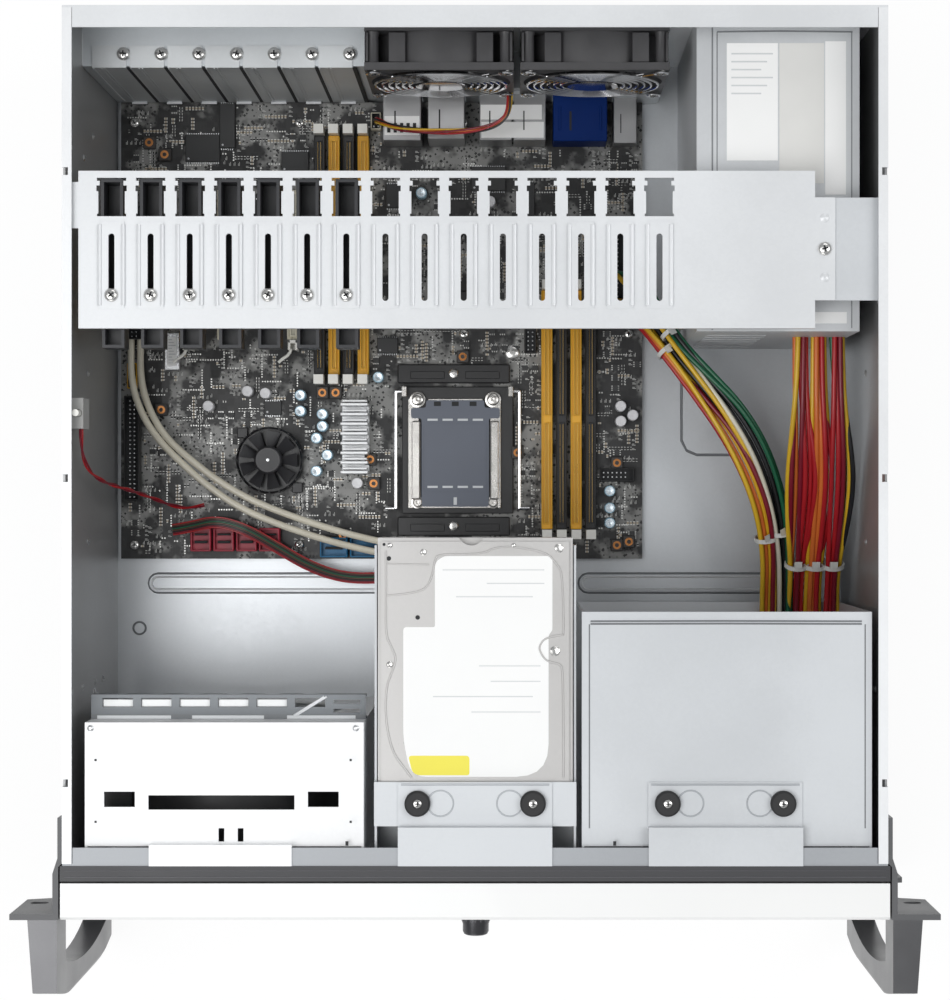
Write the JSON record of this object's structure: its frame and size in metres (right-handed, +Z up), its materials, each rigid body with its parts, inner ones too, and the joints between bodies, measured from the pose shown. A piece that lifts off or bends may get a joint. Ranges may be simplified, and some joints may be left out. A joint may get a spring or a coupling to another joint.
{
  "type": "open rackmount server case with board, drive and power supply fitted",
  "caption": "Open rackmount server case with no lid: steel chassis with drop-down front door, loop handles, card bar, drive, power supply and motherboard fitted.",
  "frame": {"origin": "middle of the case body's underside, where it stands", "axes": "+X to the right as seen from the front, +Y to the rear, +Z up"},
  "size_m": [0.4826, 0.522, 0.177],
  "materials": {
    "zinc_steel": "zinc-plated sheet, satin",
    "bright_screws": "bright plated",
    "black_plastic": "moulded, satin",
    "chrome_wire": "polished wire",
    "port_shells": "pressed shells, with a blue and a pale connector",
    "button_plastic": "smooth",
    "drive_lid": "satin lid over a cast base",
    "grommet_rubber": "matt",
    "grey_housing": "satin grey",
    "circuit_board": "black solder mask",
    "pale_latches": "moulded, off-white",
    "socket_plastic": "moulded in black, yellow and cream",
    "socket_metal": "bright plated",
    "fin_metal": "plain extrusion",
    "door_plastic": "painted off-white",
    "lock_metal": "polished",
    "ear_paint": "dark grey satin paint",
    "handle_plastic": "soft sheen",
    "lead_insulation": "mixed red, yellow, orange, green and black insulation",
    "pale_insulation": "cream insulation"
  },
  "bodies": {
    "chassis": {"base_floor": "zinc_steel", "side_walls": "zinc_steel", "rear_panel": "zinc_steel", "rear_recess": "zinc_steel", "rear_ports": "port_shells", "slot_covers": "zinc_steel", "pan_screws": "bright_screws", "hold_down_bar": "zinc_steel", "card_retainers": "black_plastic", "rear_fan_frames": "black_plastic", "fan_guards": "chrome_wire", "front_fan_frame": "black_plastic", "fan_cage": "zinc_steel", "card_guide": "zinc_steel", "front_panel": "zinc_steel", "bezel": "black_plastic", "intake_grille": "black_plastic", "drive_cage": "zinc_steel", "bay_covers": "black_plastic", "hard_drive": "drive_lid", "drive_tray": "zinc_steel", "mounting_brackets": "zinc_steel", "rubber_grommets": "grommet_rubber", "power_supply": "grey_housing", "motherboard": "circuit_board", "memory_sockets": "socket_plastic", "card_slots": "socket_plastic", "cpu_socket": "socket_metal", "heatsinks": "fin_metal", "board_components": "socket_plastic", "rack_ears": "ear_paint", "handles": "handle_plastic", "intrusion_switch": "black_plastic", "supply_bundle": "lead_insulation", "supply_plugs": "black_plastic", "board_bundle": "lead_insulation", "pale_leads": "pale_insulation", "panel_harness": "lead_insulation", "switch_lead": "lead_insulation", "fan_lead": "lead_insulation"},
    "rear_rotor_left": {"rear_rotor_left": "black_plastic"},
    "rear_rotor_right": {"rear_rotor_right": "black_plastic"},
    "front_rotor": {"front_rotor": "black_plastic"},
    "supply_rotor": {"supply_rotor": "black_plastic"},
    "chipset_rotor": {"chipset_rotor": "black_plastic"},
    "front_door": {"front_door": "door_plastic"},
    "door_lock": {"door_lock": "lock_metal"},
    "power_button": {"power_button": "button_plastic"},
    "reset_button": {"reset_button": "button_plastic"},
    "supply_switch": {"supply_switch": "black_plastic"},
    "switch_plunger": {"switch_plunger": "pale_latches"},
    "latches_left_front": {"memory_latches_left_front": "pale_latches"},
    "latches_left_rear": {"memory_latches_left_rear": "pale_latches"},
    "latches_right_front": {"memory_latches_right_front": "pale_latches"},
    "latches_right_rear": {"memory_latches_right_rear": "pale_latches"},
    "card_slot_latches": {"card_slot_latches": "pale_latches"},
    "load_plate": {"cpu_load_plate": "socket_metal", "cpu_cover": "black_plastic"},
    "lever_left": {"cpu_lever_left": "socket_metal"},
    "lever_right": {"cpu_lever_right": "socket_metal"}
  },
  "joints": [
    {"name": "rear_fan_left_spin", "type": "hinge", "parent": "chassis", "child": "rear_rotor_left", "pos_m": [-0.0199, 0.2, 0.095], "axis": [0, 1, 0], "continuous": true},
    {"name": "rear_fan_right_spin", "type": "hinge", "parent": "chassis", "child": "rear_rotor_right", "pos_m": [0.0636, 0.2, 0.095], "axis": [0, 1, 0], "continuous": true},
    {"name": "front_fan_spin", "type": "hinge", "parent": "chassis", "child": "front_rotor", "pos_m": [-0.132, -0.2, 0.082], "axis": [0, 1, 0], "continuous": true},
    {"name": "supply_fan_spin", "type": "hinge", "parent": "chassis", "child": "supply_rotor", "pos_m": [0.16, 0.205, 0.1], "axis": [0, 1, 0], "continuous": true},
    {"name": "chipset_fan_spin", "type": "hinge", "parent": "chassis", "child": "chipset_rotor", "pos_m": [-0.122, -0.01, 0.02], "axis": [0, 0, 1], "continuous": true},
    {"name": "door_hinge", "type": "hinge", "parent": "chassis", "child": "front_door", "pos_m": [0, -0.2486, 0.006], "axis": [1, 0, 0], "range_deg": [0, 85]},
    {"name": "lock_turn", "type": "hinge", "parent": "front_door", "child": "door_lock", "pos_m": [0, -0.255, 0.15], "axis": [0, 1, 0], "range_deg": [0, 90]},
    {"name": "power_press", "type": "slide", "parent": "chassis", "child": "power_button", "axis": [0, 1, 0], "range_m": [0, 0.002], "stiffness_N_per_m": 200},
    {"name": "reset_press", "type": "slide", "parent": "chassis", "child": "reset_button", "axis": [0, 1, 0], "range_m": [0, 0.002], "stiffness_N_per_m": 200},
    {"name": "lid_switch_press", "type": "slide", "parent": "chassis", "child": "switch_plunger", "axis": [0, 0, -1], "range_m": [0, 0.003], "stiffness_N_per_m": 100},
    {"name": "supply_switch_rock", "type": "hinge", "parent": "chassis", "child": "supply_switch", "pos_m": [0.1757, 0.2122, 0.0272], "axis": [1, 0, 0], "range_deg": [0, 16]},
    {"name": "left_front_latch_tilt", "type": "hinge", "parent": "chassis", "child": "latches_left_front", "pos_m": [0, 0.0369, 0.013], "axis": [1, 0, 0], "range_deg": [0, 35]},
    {"name": "left_rear_latch_tilt", "type": "hinge", "parent": "chassis", "child": "latches_left_rear", "pos_m": [0, 0.1819, 0.013], "axis": [-1, 0, 0], "range_deg": [0, 35]},
    {"name": "right_front_latch_tilt", "type": "hinge", "parent": "chassis", "child": "latches_right_front", "pos_m": [0, -0.0531, 0.013], "axis": [1, 0, 0], "range_deg": [0, 35]},
    {"name": "right_rear_latch_tilt", "type": "hinge", "parent": "chassis", "child": "latches_right_rear", "pos_m": [0, 0.0919, 0.013], "axis": [-1, 0, 0], "range_deg": [0, 35]},
    {"name": "card_latch_tilt", "type": "hinge", "parent": "chassis", "child": "card_slot_latches", "pos_m": [0, 0.057, 0.013], "axis": [1, 0, 0], "range_deg": [0, 30]},
    {"name": "load_plate_lift", "type": "hinge", "parent": "chassis", "child": "load_plate", "pos_m": [-0.0125, -0.038, 0.0142], "axis": [1, 0, 0], "range_deg": [0, 100]},
    {"name": "lever_left_lift", "type": "hinge", "parent": "chassis", "child": "lever_left", "pos_m": [-0.0465, 0.03, 0.016], "axis": [-1, 0, 0], "range_deg": [0, 110]},
    {"name": "lever_right_lift", "type": "hinge", "parent": "chassis", "child": "lever_right", "pos_m": [0.0215, 0.03, 0.016], "axis": [-1, 0, 0], "range_deg": [0, 110]}
  ]
}
